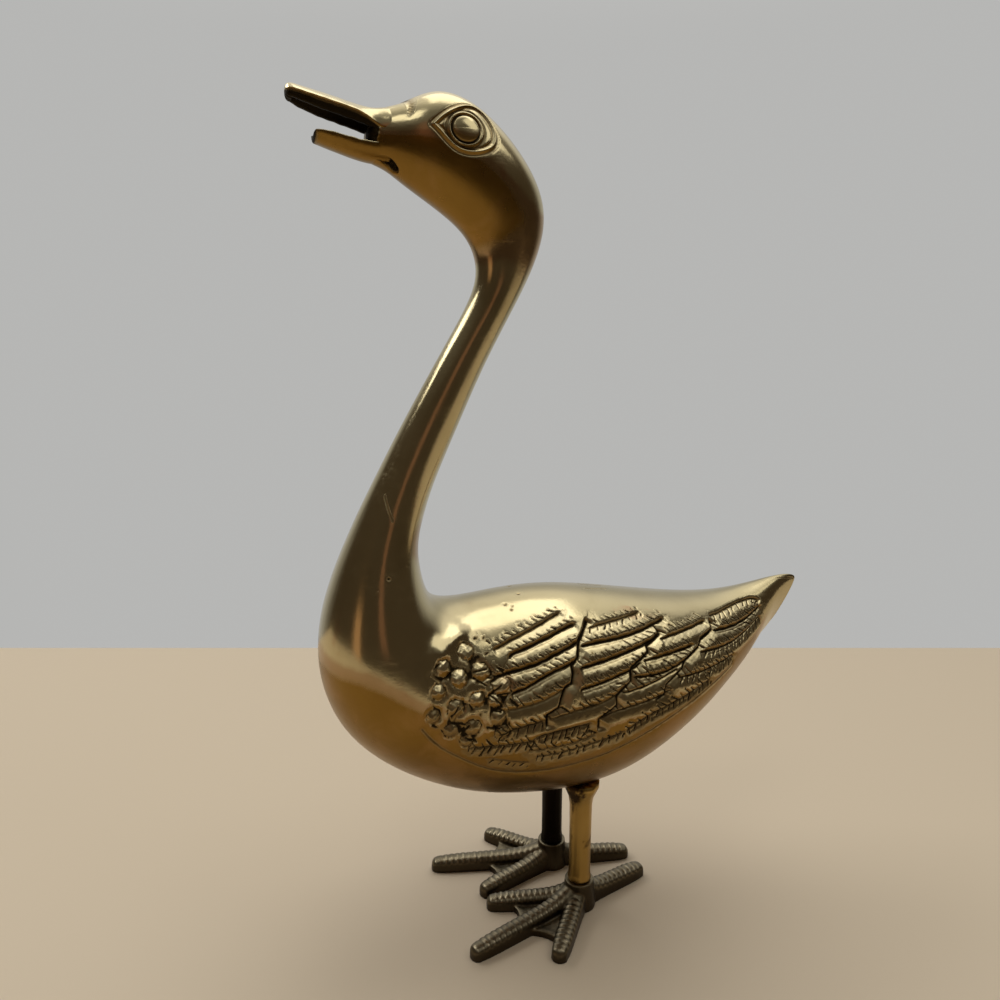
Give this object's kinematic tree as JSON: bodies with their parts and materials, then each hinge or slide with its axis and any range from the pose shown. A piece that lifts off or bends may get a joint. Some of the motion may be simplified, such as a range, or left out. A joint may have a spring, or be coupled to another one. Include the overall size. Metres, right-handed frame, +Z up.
{
  "type": "goose figurine",
  "caption": "Standing cast-brass goose ornament with a raised neck, open bill, feathered wings and separate webbed feet.",
  "frame": {"origin": "on the ground, under the middle of the goose's length and on its mid-plane", "axes": "-X the way the goose looks, +Z up, its left side towards -Y"},
  "size_m": [0.1986, 0.0786, 0.2892],
  "materials": {
    "polished_brass": "polished brass, slightly tarnished, with dark patina in the feather grooves",
    "leg_brass": "ground and polished brass with brown stains",
    "foot_bronze": "unpolished cast brass with dark olive-brown patina, worn bright on the crests",
    "screw_brass": "plain turned brass"
  },
  "bodies": {
    "root": {"left_body_shell": "polished_brass", "right_body_shell": "polished_brass", "left_leg": "leg_brass", "right_leg": "leg_brass", "left_foot": "foot_bronze", "right_foot": "foot_bronze", "left_foot_screw": "screw_brass", "right_foot_screw": "screw_brass"}
  },
  "joints": []
}
